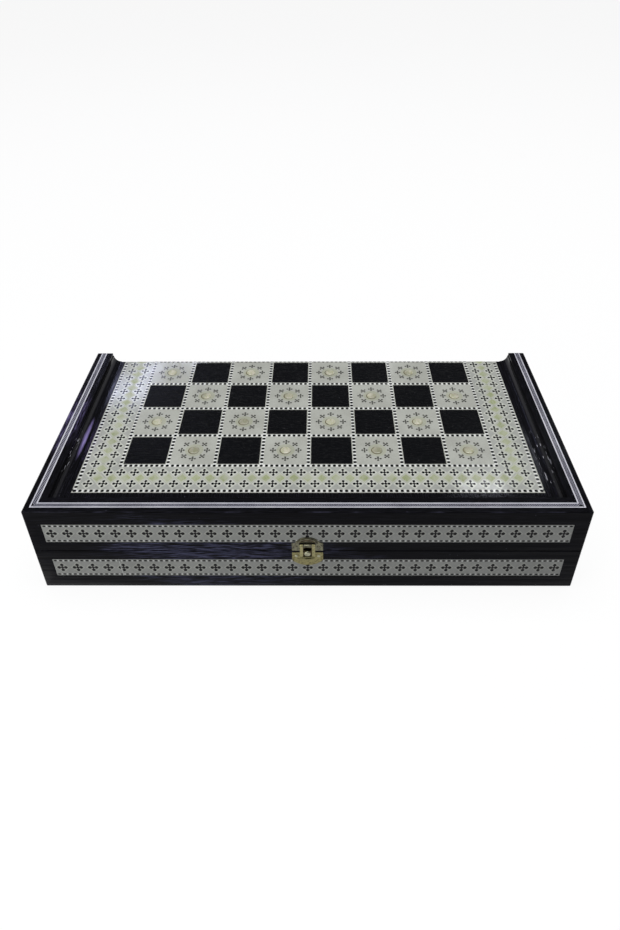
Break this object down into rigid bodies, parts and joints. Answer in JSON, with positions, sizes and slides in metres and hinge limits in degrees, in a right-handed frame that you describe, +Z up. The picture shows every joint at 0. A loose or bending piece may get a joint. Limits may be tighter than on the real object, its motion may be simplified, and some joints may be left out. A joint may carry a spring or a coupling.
{
  "type": "backgammon board",
  "caption": "Folding wooden backgammon and chess board, shut as a flat case, with inlaid squares and borders, back hinges and a small front latch.",
  "frame": {"origin": "under the middle of the shut board, on the surface that it stands on", "axes": "+X along the long side to the right, +Y from the latch to the hinges, +Z up"},
  "size_m": [0.5, 0.2633, 0.1],
  "materials": {
    "black_lacquer": "black lacquer over wood, glossy, with open grain and rubbed edges",
    "pale_inlay": "pale grey-green bone and shell marquetry under varnish",
    "pearl_shell": "yellowish mother-of-pearl, polished",
    "stringing": "pale line and rope stringing under varnish",
    "field_wood": "walnut veneer, satin varnish",
    "light_points": "pale wood inlay, satin varnish",
    "dark_points": "black wood inlay, satin varnish",
    "brass": "antique brass, darkened in the hollows"
  },
  "bodies": {
    "base": {"base_back_wall": "black_lacquer", "base_border_frieze": "pale_inlay", "base_cove_front": "black_lacquer", "base_cove_left": "black_lacquer", "base_cove_right": "black_lacquer", "base_dark_points": "dark_points", "base_dark_squares": "black_lacquer", "base_field_veneer": "field_wood", "base_front_band": "pale_inlay", "base_front_wall": "black_lacquer", "base_left_band": "pale_inlay", "base_left_wall": "black_lacquer", "base_light_points": "light_points", "base_light_squares": "pale_inlay", "base_medallion": "light_points", "base_panel": "black_lacquer", "base_pearl_discs": "pearl_shell", "base_right_band": "pale_inlay", "base_right_wall": "black_lacquer", "base_rim_stringing": "stringing", "base_square_stringing": "pale_inlay", "hinge_left_base_leaf": "brass", "hinge_left_pin": "brass", "hinge_right_base_leaf": "brass", "hinge_right_pin": "brass", "hinge_screws_base": "brass", "latch_catch_plate": "brass", "latch_nails_base": "brass"},
    "lid": {"lid_back_wall": "black_lacquer", "lid_border_frieze": "pale_inlay", "lid_cove_front": "black_lacquer", "lid_cove_left": "black_lacquer", "lid_cove_right": "black_lacquer", "lid_dark_points": "dark_points", "lid_dark_squares": "black_lacquer", "lid_field_veneer": "field_wood", "lid_front_band": "pale_inlay", "lid_front_wall": "black_lacquer", "lid_left_band": "pale_inlay", "lid_left_wall": "black_lacquer", "lid_light_points": "light_points", "lid_light_squares": "pale_inlay", "lid_medallion": "light_points", "lid_panel": "black_lacquer", "lid_pearl_discs": "pearl_shell", "lid_right_band": "pale_inlay", "lid_right_wall": "black_lacquer", "lid_rim_stringing": "stringing", "lid_square_stringing": "pale_inlay", "hinge_left_lid_leaf": "brass", "hinge_right_lid_leaf": "brass", "hinge_screws_lid": "brass", "latch_upper_plate": "brass", "latch_pin": "brass", "latch_nails_lid": "brass"},
    "hasp": {"latch_hasp": "brass"}
  },
  "joints": [
    {"name": "lid_hinge", "type": "hinge", "parent": "base", "child": "lid", "pos_m": [0, 0.12775, 0.05], "axis": [-1, 0, 0], "range_deg": [0, 180]},
    {"name": "hasp_swing", "type": "hinge", "parent": "lid", "child": "hasp", "pos_m": [0, -0.1296, 0.0593], "axis": [-1, 0, 0], "range_deg": [0, 175]}
  ]
}
